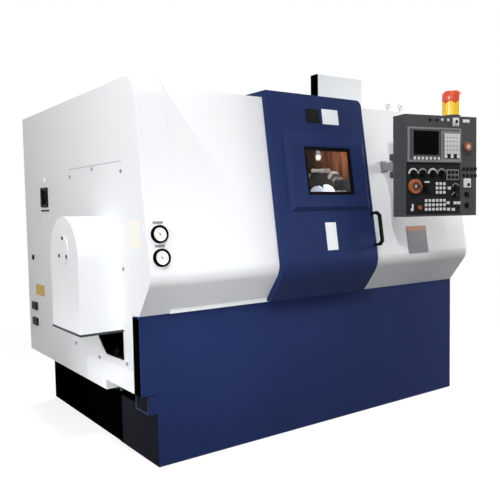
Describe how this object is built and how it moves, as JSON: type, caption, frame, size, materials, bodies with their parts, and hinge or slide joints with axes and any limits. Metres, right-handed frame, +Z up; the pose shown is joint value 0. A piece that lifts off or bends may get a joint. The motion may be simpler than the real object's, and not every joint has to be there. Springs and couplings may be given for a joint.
{
  "type": "cnc turning lathe",
  "caption": "Enclosed slant-bed turning lathe with a sliding windowed door, chuck spindle, tool turret on a carriage, swivelling operator panel with beacon, and a rear electrical cabinet",
  "frame": {"origin": "middle of the bounding box on the floor", "axes": "+X along the spindle to the machine's right, +Y to its back, +Z up"},
  "size_m": [2.21, 1.8358, 1.869],
  "materials": {
    "white_paint": "satin",
    "blue_paint": "satin",
    "black_paint": "matte",
    "cast_grey": "painted matte",
    "steel": "machined",
    "dark_steel": "blackened",
    "panel_grey": "painted matte",
    "black_plastic": "matte",
    "light_plastic": "matte",
    "screen_glass": "gloss",
    "clear_glass": "clear",
    "amber_lens": "translucent look",
    "red_lens": "translucent look",
    "orange_plastic": "matte",
    "rubber": "matte"
  },
  "bodies": {
    "machine": {"base_frame": "black_paint", "front_base_panel": "blue_paint", "leveling_feet": "steel", "coolant_tank": "black_paint", "left_cover": "white_paint", "spindle_guard": "white_paint", "guard_cap": "white_paint", "front_cover_left": "white_paint", "front_cover_right": "white_paint", "roof_cover": "white_paint", "rear_cabinet": "white_paint", "roof_cooler": "white_paint", "cooler_grille": "black_paint", "cabinet_fittings": "black_plastic", "gauge_cases": "black_paint", "door_rail": "steel", "slant_bed": "cast_grey", "headstock": "cast_grey", "headstock_wall": "white_paint", "spindle_bearings": "steel", "z_rails": "steel", "z_motor": "dark_steel", "spindle_motor": "dark_steel", "drive_belt": "rubber", "work_light": "white_paint", "panel_bracket": "dark_steel"},
    "door": {"door_shell": "blue_paint", "window_frame": "rubber", "window_glass": "clear_glass", "door_handle": "black_plastic", "door_shoes": "steel"},
    "rear_door": {"cabinet_door": "white_paint"},
    "switch": {"main_switch": "black_plastic"},
    "spindle_unit": {"spindle": "steel", "chuck_body": "steel", "spindle_pulley": "steel", "rotary_cylinder": "dark_steel"},
    "chuck_jaw_1": {"jaw_1": "steel"},
    "chuck_jaw_2": {"jaw_2": "steel"},
    "chuck_jaw_3": {"jaw_3": "steel"},
    "motor_rotor": {"motor_pulley": "steel"},
    "carriage": {"saddle": "cast_grey", "x_motor": "dark_steel"},
    "feed_screw": {"z_screw": "steel"},
    "cross": {"cross_slide": "cast_grey"},
    "turret": {"turret_disk": "steel", "tool_holders": "dark_steel"},
    "panel": {"panel_box": "panel_grey", "panel_screen": "screen_glass", "panel_keys": "light_plastic", "beacon_amber": "amber_lens", "beacon_red": "red_lens"},
    "stop": {"e_stop": "orange_plastic"},
    "wheel": {"handwheel": "orange_plastic"},
    "dial_1": {"knob_1": "black_plastic"},
    "dial_2": {"knob_2": "black_plastic"},
    "dial_3": {"knob_3": "black_plastic"},
    "dial_4": {"knob_4": "black_plastic"},
    "start": {"start_button": "orange_plastic"},
    "hold": {"hold_button": "black_plastic"}
  },
  "joints": [
    {"name": "door_slide", "type": "slide", "parent": "machine", "child": "door", "axis": [-1, 0, 0], "range_m": [0, 0.5]},
    {"name": "rear_door_hinge", "type": "hinge", "parent": "machine", "child": "rear_door", "pos_m": [-0.75, 0.91194, 1.13], "axis": [0, 0, 1], "range_deg": [0, 110]},
    {"name": "switch_turn", "type": "hinge", "parent": "machine", "child": "switch", "pos_m": [-0.915, 0.55094, 1.165], "axis": [-1, 0, 0], "range_deg": [0, 90]},
    {"name": "spindle_spin", "type": "hinge", "parent": "machine", "child": "spindle_unit", "pos_m": [-0.531, -0.26506, 0.92], "axis": [1, 0, 0], "continuous": true},
    {"name": "jaw_1_slide", "type": "slide", "parent": "spindle_unit", "child": "chuck_jaw_1", "axis": [0, 0, 1], "range_m": [-0.005, 0.005]},
    {"name": "jaw_2_slide", "type": "slide", "parent": "spindle_unit", "child": "chuck_jaw_2", "axis": [0, -0.866, -0.5], "range_m": [-0.005, 0.005]},
    {"name": "jaw_3_slide", "type": "slide", "parent": "spindle_unit", "child": "chuck_jaw_3", "axis": [0, 0.866, -0.5], "range_m": [-0.005, 0.005]},
    {"name": "motor_spin", "type": "hinge", "parent": "machine", "child": "motor_rotor", "pos_m": [-0.751, -0.28506, 0.38], "axis": [1, 0, 0], "continuous": true},
    {"name": "carriage_slide", "type": "slide", "parent": "machine", "child": "carriage", "axis": [1, 0, 0], "range_m": [-0.5, 0]},
    {"name": "feed_screw_spin", "type": "hinge", "parent": "machine", "child": "feed_screw", "pos_m": [0.169, 0.01424, 0.86697], "axis": [1, 0, 0], "continuous": true},
    {"name": "cross_slide_move", "type": "slide", "parent": "carriage", "child": "cross", "axis": [0, 0.7071, 0.7071], "range_m": [-0.13, 0]},
    {"name": "turret_index", "type": "hinge", "parent": "cross", "child": "turret", "pos_m": [0.619, -0.03172, 1.15335], "axis": [1, 0, 0], "continuous": true},
    {"name": "panel_swivel", "type": "hinge", "parent": "machine", "child": "panel", "pos_m": [0.487, -0.69806, 1.288], "axis": [0, 0, 1], "range_deg": [-25, 13]},
    {"name": "dial_1_turn", "type": "hinge", "parent": "panel", "child": "dial_1", "pos_m": [0.50078, -0.81619, 1.243], "axis": [-0.225, -0.9744, 0], "range_deg": [-120, 120]},
    {"name": "dial_2_turn", "type": "hinge", "parent": "panel", "child": "dial_2", "pos_m": [0.55729, -0.82924, 1.243], "axis": [-0.225, -0.9744, 0], "range_deg": [-120, 120]},
    {"name": "dial_3_turn", "type": "hinge", "parent": "panel", "child": "dial_3", "pos_m": [0.6177, -0.84319, 1.243], "axis": [-0.225, -0.9744, 0], "range_deg": [-120, 120]},
    {"name": "dial_4_turn", "type": "hinge", "parent": "panel", "child": "dial_4", "pos_m": [0.67227, -0.85578, 1.243], "axis": [-0.225, -0.9744, 0], "range_deg": [-120, 120]},
    {"name": "wheel_spin", "type": "hinge", "parent": "panel", "child": "wheel", "pos_m": [0.50663, -0.81754, 1.18], "axis": [-0.225, -0.9744, 0], "continuous": true},
    {"name": "stop_press", "type": "slide", "parent": "panel", "child": "stop", "axis": [0.225, 0.9744, 0], "range_m": [0, 0.004], "stiffness_N_per_m": 800},
    {"name": "start_press", "type": "slide", "parent": "panel", "child": "start", "axis": [0.225, 0.9744, 0], "range_m": [0, 0.004], "stiffness_N_per_m": 800},
    {"name": "hold_press", "type": "slide", "parent": "panel", "child": "hold", "axis": [0.225, 0.9744, 0], "range_m": [0, 0.004], "stiffness_N_per_m": 800}
  ],
  "couplings": [
    {"joint": "jaw_2_slide", "follows": "jaw_1_slide", "ratio": 1},
    {"joint": "jaw_3_slide", "follows": "jaw_1_slide", "ratio": 1},
    {"joint": "motor_spin", "follows": "spindle_spin", "ratio": 1.5},
    {"joint": "feed_screw_spin", "follows": "carriage_slide", "rad_per_m": 628.32}
  ]
}
